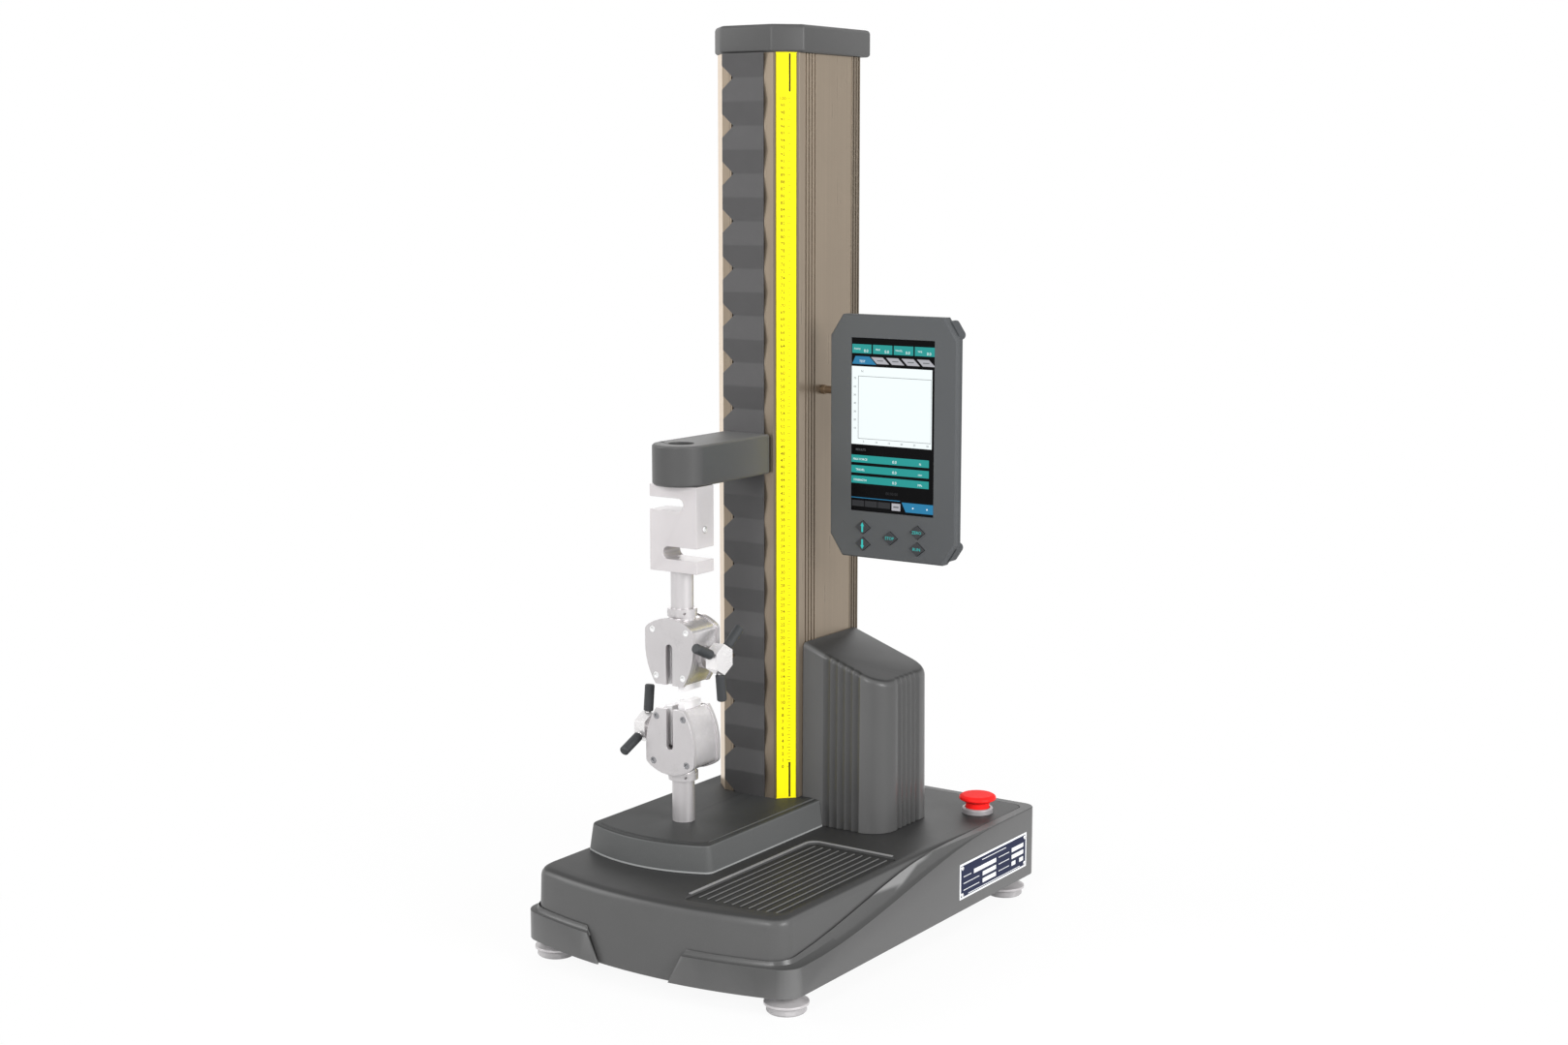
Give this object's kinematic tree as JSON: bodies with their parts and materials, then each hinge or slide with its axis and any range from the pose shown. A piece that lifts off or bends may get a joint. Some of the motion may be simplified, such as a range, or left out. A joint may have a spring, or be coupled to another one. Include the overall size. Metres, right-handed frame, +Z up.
{
  "type": "universal testing machine",
  "caption": "Bench-top tensile tester: moulded base on levelling feet, slotted column, screw-driven crosshead with load cell, screw grips, tilting display and stop button",
  "frame": {"origin": "on the ground under the middle of the part's box", "axes": "+Z up along the column, -Y the front with the grips, +X the side of the display and tray"},
  "size_m": [0.2866, 0.4414, 0.8084],
  "materials": {
    "floor_steel": "satin grey powder coat",
    "skirt_shell": "semi-gloss dark grey moulding",
    "cover_shell": "semi-gloss dark grey moulding",
    "deck_paint": "satin dark grey paint on a casting",
    "mat_rubber": "ribbed matt rubber",
    "pad_rubber": "pale grey rubber",
    "stud_steel": "zinc-plated",
    "inlet_plastic": "matt black",
    "rocker_plastic": "gloss black",
    "board": "green laminate",
    "supply_case": "plain sheet",
    "column_anodised": "bronze-grey anodised, brushed along its length",
    "cap_paint": "satin dark grey",
    "scale_yellow": "bright yellow film with dark graduations",
    "cover_cloth": "coated pleated cloth",
    "rod_chrome": "ground and chromed",
    "block_alloy": "machined",
    "bearing_steel": "ground",
    "pulley_alloy": "machined",
    "belt_rubber": "matt black",
    "motor_paint": "satin black",
    "bracket_steel": "plated sheet",
    "housing_shell": "semi-gloss dark grey moulding",
    "bush_bronze": "bearing bronze",
    "arm_paint": "satin dark grey",
    "bolt_black": "blackened",
    "cell_alloy": "bead-blasted, nickel plated",
    "rod_steel": "turned",
    "grip_steel": "satin nickel plated",
    "screw_bright": "bright plated",
    "screw_dark": "dark plated",
    "jaw_steel": "hardened, toothed face",
    "handle_steel": "bright plated",
    "sleeve_rubber": "matt dark rubber",
    "post_paint": "satin bronze anodised",
    "display_back": "fine-grained dark grey",
    "display_front": "fine-grained dark grey",
    "screen_glass": "dark display glass",
    "key_plastic": "dark membrane keys",
    "ring_alloy": "satin anodised",
    "contact_plastic": "black",
    "stem_plastic": "dark red",
    "button_red": "gloss red"
  },
  "bodies": {
    "stand": {"base_plate": "floor_steel", "base_skirt": "skirt_shell", "base_cover": "cover_shell", "deck": "deck_paint", "tray_mat": "mat_rubber", "foot_pads": "pad_rubber", "foot_studs": "stud_steel", "power_inlet": "inlet_plastic", "control_board": "board", "power_supply": "supply_case", "column": "column_anodised", "top_cap": "cap_paint", "ruler_strip": "scale_yellow", "bellows_upper": "cover_cloth", "bellows_lower": "cover_cloth", "guide_rods": "rod_chrome", "bearing_blocks": "block_alloy", "screw_bearings": "bearing_steel", "motor": "motor_paint", "motor_bracket": "bracket_steel", "timing_belt": "belt_rubber", "motor_housing": "housing_shell", "lower_rod": "rod_steel", "lower_grip_body": "grip_steel", "lower_grip_plates": "grip_steel", "lower_grip_screws": "screw_dark", "lower_fixed_jaw": "jaw_steel", "display_bracket": "post_paint", "estop_bezel": "ring_alloy", "estop_contacts": "contact_plastic"},
    "crosshead": {"carriage": "block_alloy", "carriage_bushes": "bush_bronze", "arm": "arm_paint", "arm_bolt": "bolt_black", "load_cell": "cell_alloy", "upper_rod": "rod_steel", "upper_grip_body": "grip_steel", "upper_grip_plates": "grip_steel", "upper_grip_screws": "screw_bright", "upper_fixed_jaw": "jaw_steel"},
    "screw": {"lead_screw": "bearing_steel", "screw_pulley": "pulley_alloy"},
    "motor_rotor": {"motor_pulley": "pulley_alloy"},
    "upper_jaw": {"upper_moving_jaw": "jaw_steel"},
    "upper_handle": {"upper_handle": "handle_steel", "upper_sleeves": "sleeve_rubber"},
    "lower_jaw": {"lower_moving_jaw": "jaw_steel"},
    "lower_handle": {"lower_handle": "handle_steel", "lower_sleeves": "sleeve_rubber"},
    "display": {"display_housing": "display_back", "display_bezel": "display_front", "display_screen": "screen_glass"},
    "key_up": {"key_up": "key_plastic"},
    "key_down": {"key_down": "key_plastic"},
    "key_stop": {"key_stop": "key_plastic"},
    "key_zero": {"key_zero": "key_plastic"},
    "key_run": {"key_run": "key_plastic"},
    "estop_stem": {"estop_stem": "stem_plastic"},
    "estop_head": {"estop_button": "button_red"},
    "rocker": {"power_rocker": "rocker_plastic"}
  },
  "joints": [
    {"name": "crosshead_lift", "type": "slide", "parent": "stand", "child": "crosshead", "axis": [0, 0, 1], "range_m": [0, 0.28], "deforming": ["bellows_upper", "bellows_lower"]},
    {"name": "screw_spin", "type": "hinge", "parent": "stand", "child": "screw", "pos_m": [-0.05725, 0.08317, 0.046], "axis": [0, 0, 1], "range_deg": [-5, 10085]},
    {"name": "motor_spin", "type": "hinge", "parent": "stand", "child": "motor_rotor", "pos_m": [0.0303, 0.08967, 0.046], "axis": [0, 0, 1], "range_deg": [-10, 20170]},
    {"name": "upper_jaw_slide", "type": "slide", "parent": "crosshead", "child": "upper_jaw", "axis": [-1, 0, 0], "range_m": [0, 0.006]},
    {"name": "upper_handle_turn", "type": "hinge", "parent": "upper_jaw", "child": "upper_handle", "pos_m": [-0.02325, -0.08033, 0.2603], "axis": [-1, 0, 0], "range_deg": [-3, 1443]},
    {"name": "lower_jaw_slide", "type": "slide", "parent": "stand", "child": "lower_jaw", "axis": [1, 0, 0], "range_m": [0, 0.006]},
    {"name": "lower_handle_turn", "type": "hinge", "parent": "lower_jaw", "child": "lower_handle", "pos_m": [-0.09125, -0.08033, 0.1886], "axis": [1, 0, 0], "range_deg": [-3, 1443]},
    {"name": "display_tilt", "type": "hinge", "parent": "stand", "child": "display", "pos_m": [0.07825, 0.07717, 0.4841], "axis": [1, 0, 0], "range_deg": [-15, 20]},
    {"name": "key_up_press", "type": "slide", "parent": "display", "child": "key_up", "axis": [0, 1, 0], "range_m": [0, 0.0008], "stiffness_N_per_m": 1500, "springref_m": -0.0003},
    {"name": "key_down_press", "type": "slide", "parent": "display", "child": "key_down", "axis": [0, 1, 0], "range_m": [0, 0.0008], "stiffness_N_per_m": 1500, "springref_m": -0.0003},
    {"name": "key_stop_press", "type": "slide", "parent": "display", "child": "key_stop", "axis": [0, 1, 0], "range_m": [0, 0.0008], "stiffness_N_per_m": 1500, "springref_m": -0.0003},
    {"name": "key_zero_press", "type": "slide", "parent": "display", "child": "key_zero", "axis": [0, 1, 0], "range_m": [0, 0.0008], "stiffness_N_per_m": 1500, "springref_m": -0.0003},
    {"name": "key_run_press", "type": "slide", "parent": "display", "child": "key_run", "axis": [0, 1, 0], "range_m": [0, 0.0008], "stiffness_N_per_m": 1500, "springref_m": -0.0003},
    {"name": "estop_press", "type": "slide", "parent": "stand", "child": "estop_stem", "axis": [0, 0, -1], "range_m": [0, 0.004]},
    {"name": "estop_twist", "type": "hinge", "parent": "estop_stem", "child": "estop_head", "pos_m": [0.10475, 0.16517, 0.0836], "axis": [0, 0, 1], "range_deg": [0, 30], "stiffness_Nm_per_rad": 0.05, "springref_deg": -2.86},
    {"name": "rocker_switch", "type": "hinge", "parent": "stand", "child": "rocker", "pos_m": [0.08825, 0.21417, 0.0633], "axis": [-1, 0, 0], "range_deg": [0, 14]}
  ],
  "couplings": [
    {"joint": "screw_spin", "follows": "crosshead_lift", "rad_per_m": 628.32},
    {"joint": "motor_spin", "follows": "crosshead_lift", "rad_per_m": 1256.6},
    {"joint": "upper_handle_turn", "follows": "upper_jaw_slide", "rad_per_m": 4188.8},
    {"joint": "lower_handle_turn", "follows": "lower_jaw_slide", "rad_per_m": 4188.8}
  ]
}
